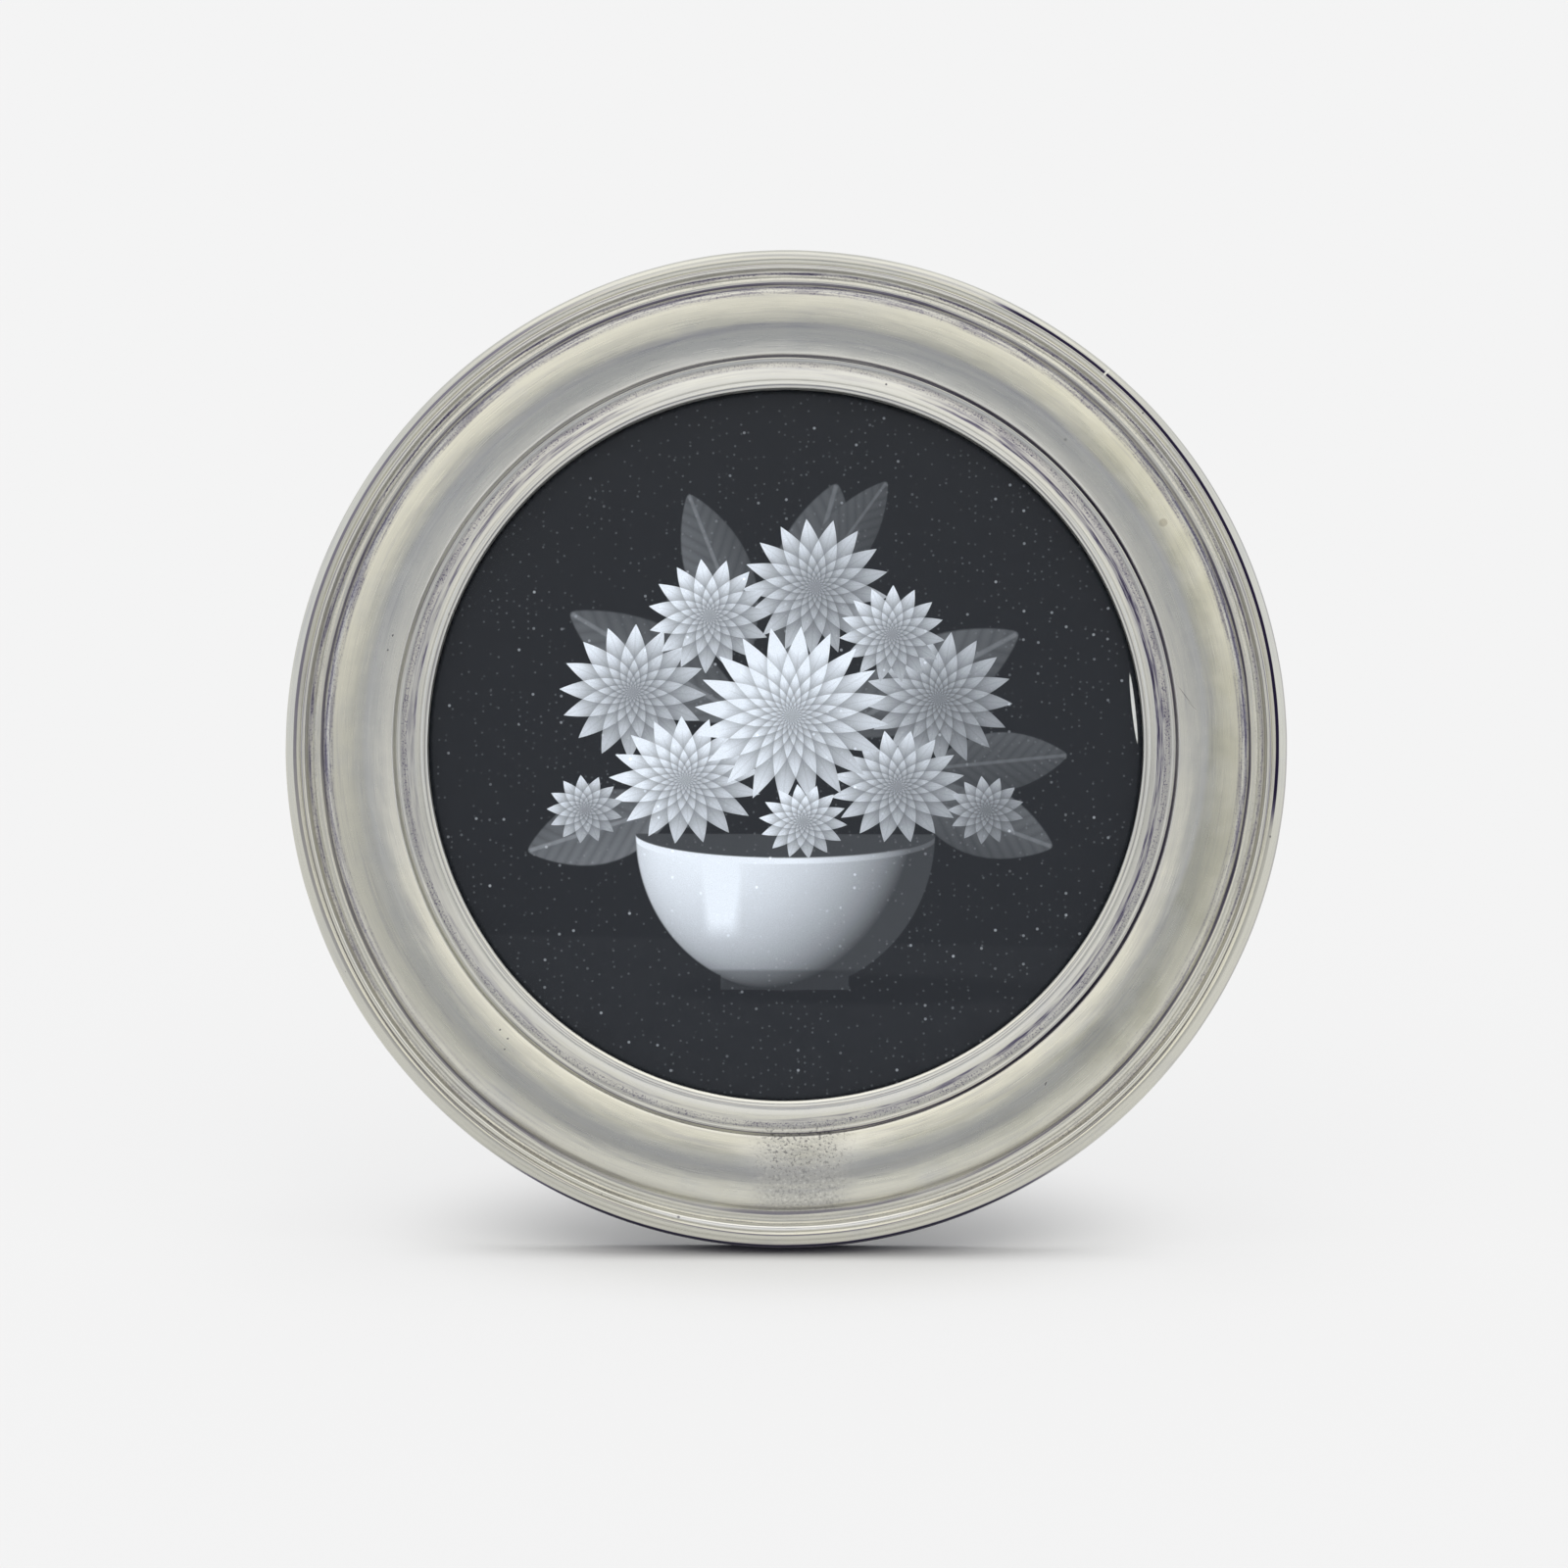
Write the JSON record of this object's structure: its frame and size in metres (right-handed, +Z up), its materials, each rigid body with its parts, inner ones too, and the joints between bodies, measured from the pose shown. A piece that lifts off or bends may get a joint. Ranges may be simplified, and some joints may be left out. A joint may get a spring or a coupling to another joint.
{
  "type": "round photo frame",
  "caption": "Round moulded pewter photo frame with glass, print and a cloth-faced back, standing on a hinged easel leg, with turn buttons that release the back.",
  "frame": {"origin": "on the table, in the middle of the space that the frame takes up with its leg open", "axes": "+Z up, the face looks along -Y and leans back, +X to the viewer's right"},
  "size_m": [0.17, 0.0598, 0.1663],
  "materials": {
    "pewter": "cast pewter, hand rubbed, dark patina in the grooves",
    "glass": "clear, seamed edge",
    "print": "black-and-white print, satin",
    "card": "thick grey-brown card",
    "hardboard": "brown hardboard, sawn edge",
    "felt": "black felt cloth, glued",
    "hinge_steel": "zinc-plated pressed steel",
    "rivet_steel": "nickel-plated steel, domed",
    "fibre": "red-brown fibre washer",
    "brass": "tumbled brass"
  },
  "bodies": {
    "frame": {"frame_ring": "pewter", "glass_pane": "glass", "photo_print": "print", "filler_card": "card", "back_board": "hardboard", "back_felt": "felt", "hinge_fixed_leaf": "hinge_steel", "hinge_pin": "hinge_steel", "hinge_board_rivets": "rivet_steel", "turn_button_washers": "fibre", "turn_button_screws": "brass"},
    "easel": {"easel_leg": "hardboard", "leg_outer_felt": "felt", "leg_inner_felt": "felt", "hinge_leg_leaf": "hinge_steel", "hinge_leg_rivets": "rivet_steel"},
    "button_upper_right": {"turn_button_upper_right": "brass"},
    "button_upper_left": {"turn_button_upper_left": "brass"},
    "button_lower_left": {"turn_button_lower_left": "brass"},
    "button_lower_right": {"turn_button_lower_right": "brass"}
  },
  "joints": [
    {"name": "easel_leg_fold", "type": "hinge", "parent": "frame", "child": "easel", "pos_m": [0, 0.00802, 0.10575], "axis": [-1, 0, 0], "range_deg": [0, 24]},
    {"name": "turn_button_upper_right_turn", "type": "hinge", "parent": "frame", "child": "button_upper_right", "pos_m": [0.04985, 0.01303, 0.13011], "axis": [0, 0.9703, -0.2419], "continuous": true},
    {"name": "turn_button_upper_left_turn", "type": "hinge", "parent": "frame", "child": "button_upper_left", "pos_m": [-0.04985, 0.01303, 0.13011], "axis": [0, 0.9703, -0.2419], "continuous": true},
    {"name": "turn_button_lower_left_turn", "type": "hinge", "parent": "frame", "child": "button_lower_left", "pos_m": [-0.04985, -0.01109, 0.03337], "axis": [0, 0.9703, -0.2419], "continuous": true},
    {"name": "turn_button_lower_right_turn", "type": "hinge", "parent": "frame", "child": "button_lower_right", "pos_m": [0.04985, -0.01109, 0.03337], "axis": [0, 0.9703, -0.2419], "continuous": true}
  ]
}
